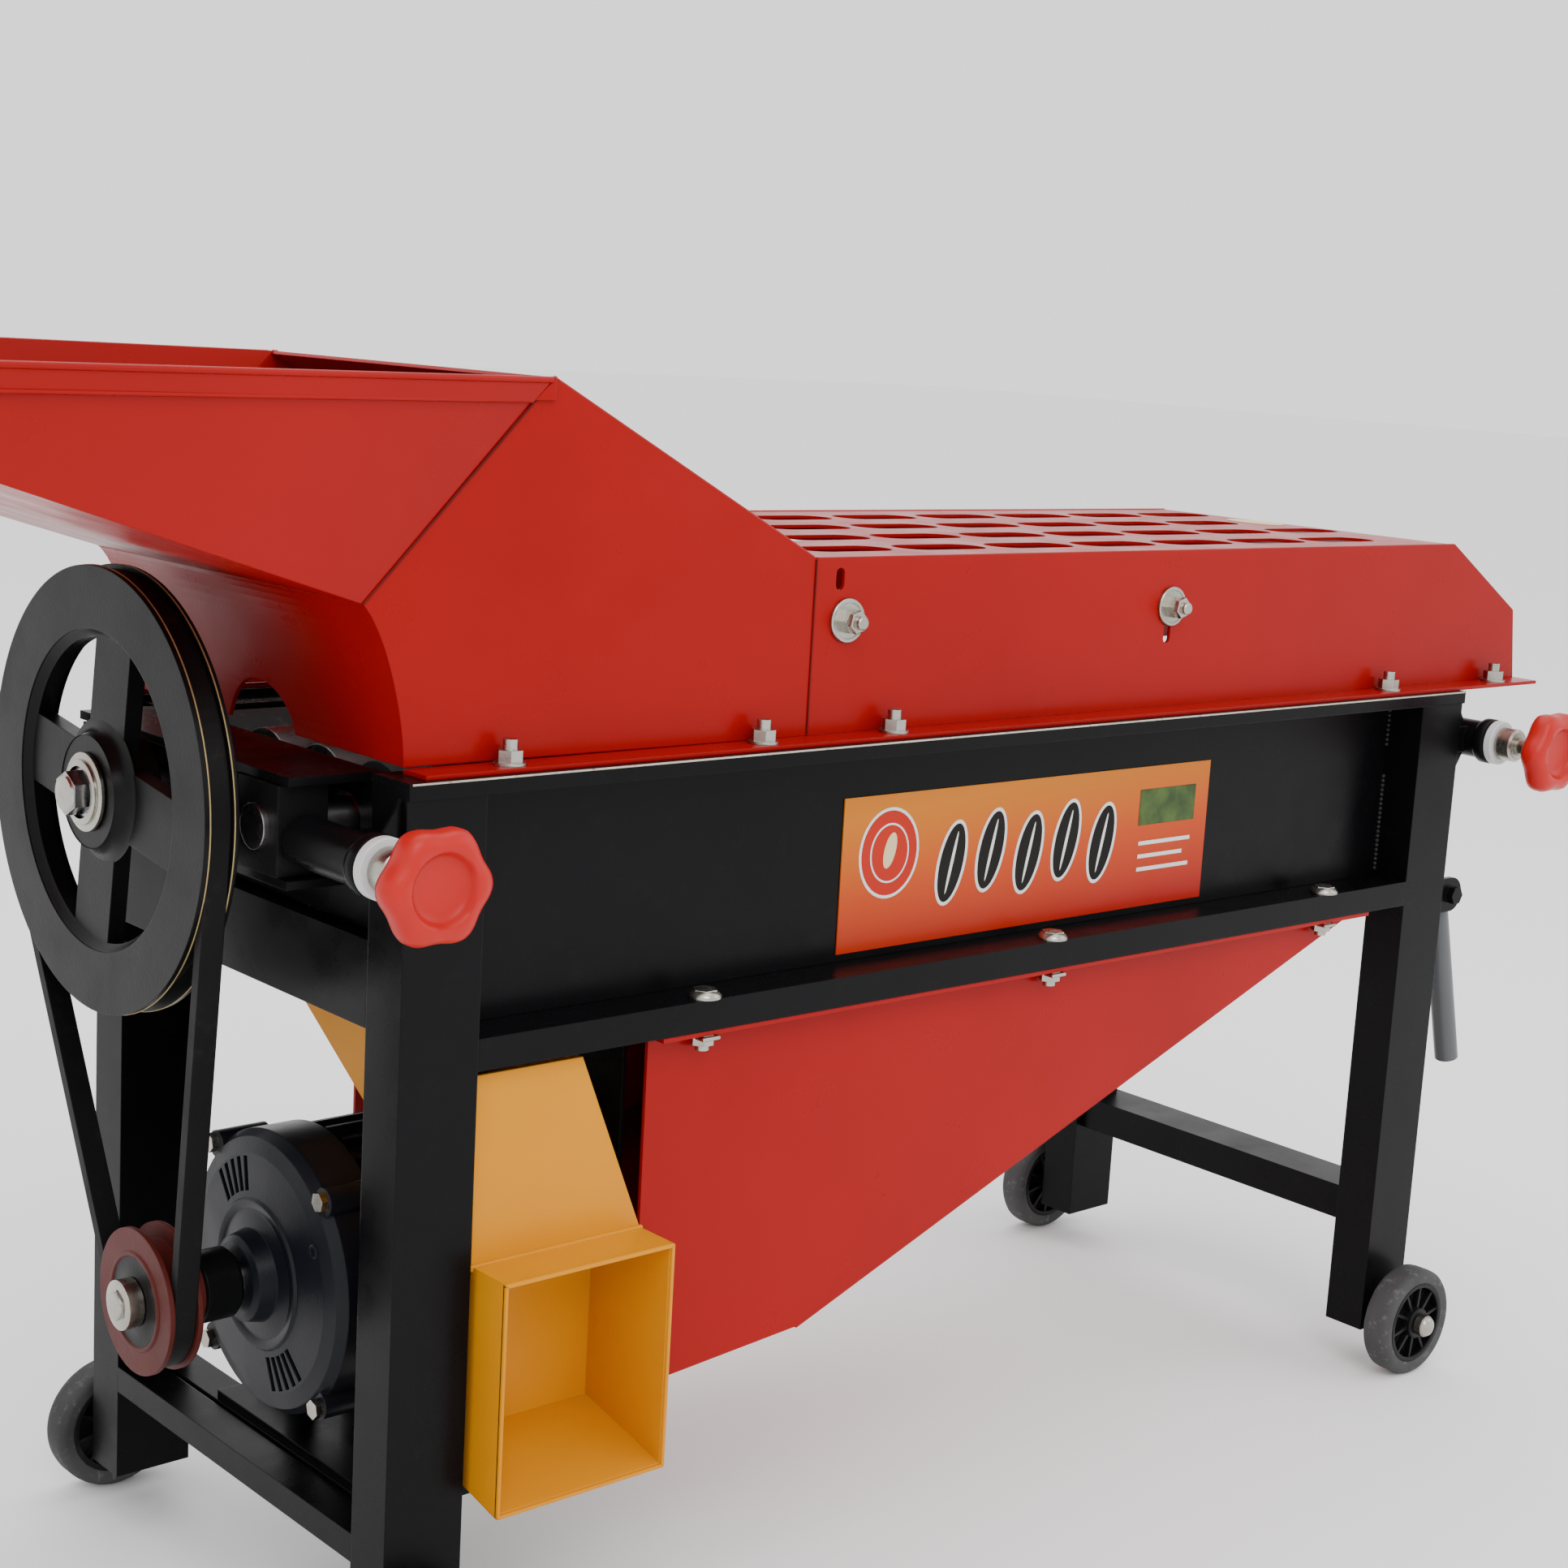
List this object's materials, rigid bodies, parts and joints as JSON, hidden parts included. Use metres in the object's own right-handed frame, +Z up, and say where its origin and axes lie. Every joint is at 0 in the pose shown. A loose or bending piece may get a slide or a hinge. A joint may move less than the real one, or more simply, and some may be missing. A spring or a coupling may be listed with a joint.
{
  "type": "corn husking and shelling machine",
  "caption": "Wheeled stand with a flared feed hopper, a perforated cover over geared husking rollers, a husk tray, a grain chute and a belt-driven electric motor.",
  "frame": {"origin": "centre of the bounding box's underside, on the floor between the four wheels", "axes": "+X from the feed hopper to the ear outlet, +Y from the side with the grain chute's mouth to the far side, +Z up"},
  "size_m": [1.687, 0.59, 0.888],
  "materials": {
    "belt_rubber": "matt",
    "black_paint": "semi-gloss powder coat",
    "bright_steel": "turned and slightly worn",
    "castings": "black lacquer",
    "gear_steel": "cut steel with grease",
    "grey_tube": "grey lacquer",
    "knob_plastic": "moulded",
    "label": "printed orange panel with a gradient",
    "motor_paint": "satin enamel over cast metal",
    "primer": "red-brown primer",
    "pulley_cast": "black paint with a worn rim",
    "red_paint": "semi-gloss powder coat",
    "roller_rubber": "moulded, matt",
    "wheel_tread": "solid rubber on a ribbed hub",
    "yellow_paint": "semi-gloss enamel",
    "zinc": "bright zinc plate"
  },
  "bodies": {
    "stand": {"left_legs": "black_paint", "right_legs": "black_paint", "side_panel_front": "black_paint", "side_panel_rear": "black_paint", "side_rails": "black_paint", "crossbeams": "black_paint", "lower_braces": "black_paint", "motor_plate": "black_paint", "end_plate_left": "black_paint", "end_plate_right": "black_paint", "feed_hopper": "red_paint", "throat_housing": "red_paint", "roller_cover": "red_paint", "husk_tray": "red_paint", "grain_chute": "yellow_paint", "divider_plate": "black_paint", "label_plate": "label", "guide_boards": "black_paint", "drive_belt": "belt_rubber", "roller_bearings": "castings", "adjuster_tubes": "black_paint", "press_rods": "zinc", "panel_bolts": "zinc", "axle_bolts": "zinc", "motor_housing": "motor_paint", "motor_end_bell": "motor_paint", "motor_fan_cover": "motor_paint", "terminal_box": "motor_paint", "motor_bolts": "zinc", "handle_bracket": "black_paint"},
    "main_roller": {"main_roller": "bright_steel", "drive_pulley": "pulley_cast", "main_gear": "gear_steel"},
    "inner_roller": {"inner_roller": "bright_steel", "inner_gear": "gear_steel"},
    "front_carriage": {"front_bearing_blocks": "castings"},
    "front_roller": {"front_roller_shaft": "bright_steel", "front_roller_sleeve": "roller_rubber", "front_gear": "gear_steel"},
    "rear_carriage": {"rear_bearing_blocks": "castings"},
    "rear_roller": {"rear_roller_shaft": "bright_steel", "rear_roller_sleeve": "roller_rubber", "rear_gear": "gear_steel"},
    "motor_rotor": {"motor_rotor": "bright_steel", "motor_pulley": "primer"},
    "knob_front_left": {"knob_front_left": "knob_plastic", "screw_front_left": "zinc"},
    "knob_front_right": {"knob_front_right": "knob_plastic", "screw_front_right": "zinc"},
    "knob_rear_left": {"knob_rear_left": "knob_plastic", "screw_rear_left": "zinc"},
    "knob_rear_right": {"knob_rear_right": "knob_plastic", "screw_rear_right": "zinc"},
    "wheel_front_left": {"wheel_front_left": "wheel_tread"},
    "wheel_front_right": {"wheel_front_right": "wheel_tread"},
    "wheel_rear_left": {"wheel_rear_left": "wheel_tread"},
    "wheel_rear_right": {"wheel_rear_right": "wheel_tread"},
    "press_flap_left": {"press_flap_left": "roller_rubber"},
    "press_flap_right": {"press_flap_right": "roller_rubber"},
    "tow_handle": {"tow_handle": "grey_tube"}
  },
  "joints": [
    {"name": "main_spin", "type": "hinge", "parent": "stand", "child": "main_roller", "pos_m": [0.0895, 0.036, 0.598], "axis": [1, 0, 0], "continuous": true},
    {"name": "inner_spin", "type": "hinge", "parent": "stand", "child": "inner_roller", "pos_m": [0.0895, -0.036, 0.598], "axis": [1, 0, 0], "continuous": true},
    {"name": "motor_spin", "type": "hinge", "parent": "stand", "child": "motor_rotor", "pos_m": [-0.3605, -0.03, 0.262], "axis": [1, 0, 0], "continuous": true},
    {"name": "knob_front_left_turn", "type": "hinge", "parent": "stand", "child": "knob_front_left", "pos_m": [-0.4405, -0.28, 0.592], "axis": [0, -1, 0], "range_deg": [0, 540]},
    {"name": "knob_front_right_turn", "type": "hinge", "parent": "stand", "child": "knob_front_right", "pos_m": [0.7495, -0.28, 0.592], "axis": [0, -1, 0], "range_deg": [0, 540]},
    {"name": "front_roller_slide", "type": "slide", "parent": "stand", "child": "front_carriage", "axis": [0, -1, 0], "range_m": [0, 0.003], "stiffness_N_per_m": 20000, "springref_m": -0.002},
    {"name": "front_spin", "type": "hinge", "parent": "front_carriage", "child": "front_roller", "pos_m": [0.0895, -0.108, 0.598], "axis": [1, 0, 0], "continuous": true},
    {"name": "knob_rear_left_turn", "type": "hinge", "parent": "stand", "child": "knob_rear_left", "pos_m": [-0.4405, 0.28, 0.592], "axis": [0, 1, 0], "range_deg": [0, 540]},
    {"name": "knob_rear_right_turn", "type": "hinge", "parent": "stand", "child": "knob_rear_right", "pos_m": [0.7495, 0.28, 0.592], "axis": [0, 1, 0], "range_deg": [0, 540]},
    {"name": "rear_roller_slide", "type": "slide", "parent": "stand", "child": "rear_carriage", "axis": [0, 1, 0], "range_m": [0, 0.003], "stiffness_N_per_m": 20000, "springref_m": -0.002},
    {"name": "rear_spin", "type": "hinge", "parent": "rear_carriage", "child": "rear_roller", "pos_m": [0.0895, 0.108, 0.598], "axis": [1, 0, 0], "continuous": true},
    {"name": "wheel_front_left_roll", "type": "hinge", "parent": "stand", "child": "wheel_front_left", "pos_m": [-0.3805, -0.233, 0.05], "axis": [0, 1, 0], "continuous": true},
    {"name": "wheel_front_right_roll", "type": "hinge", "parent": "stand", "child": "wheel_front_right", "pos_m": [0.6895, -0.233, 0.05], "axis": [0, 1, 0], "continuous": true},
    {"name": "wheel_rear_left_roll", "type": "hinge", "parent": "stand", "child": "wheel_rear_left", "pos_m": [-0.3805, 0.233, 0.05], "axis": [0, 1, 0], "continuous": true},
    {"name": "wheel_rear_right_roll", "type": "hinge", "parent": "stand", "child": "wheel_rear_right", "pos_m": [0.6895, 0.233, 0.05], "axis": [0, 1, 0], "continuous": true},
    {"name": "press_flap_left_swing", "type": "hinge", "parent": "stand", "child": "press_flap_left", "pos_m": [-0.0235, 0, 0.723], "axis": [0, 1, 0], "range_deg": [-35, 35]},
    {"name": "press_flap_right_swing", "type": "hinge", "parent": "stand", "child": "press_flap_right", "pos_m": [0.3345, 0, 0.723], "axis": [0, 1, 0], "range_deg": [-35, 35]},
    {"name": "tow_handle_swing", "type": "hinge", "parent": "stand", "child": "tow_handle", "pos_m": [0.7395, -0.183, 0.445], "axis": [0, -1, 0], "range_deg": [-16, 74]}
  ],
  "couplings": [
    {"joint": "inner_spin", "follows": "main_spin", "ratio": -1},
    {"joint": "motor_spin", "follows": "main_spin", "ratio": 3.1277},
    {"joint": "front_spin", "follows": "main_spin", "ratio": 1},
    {"joint": "rear_spin", "follows": "main_spin", "ratio": -1}
  ]
}
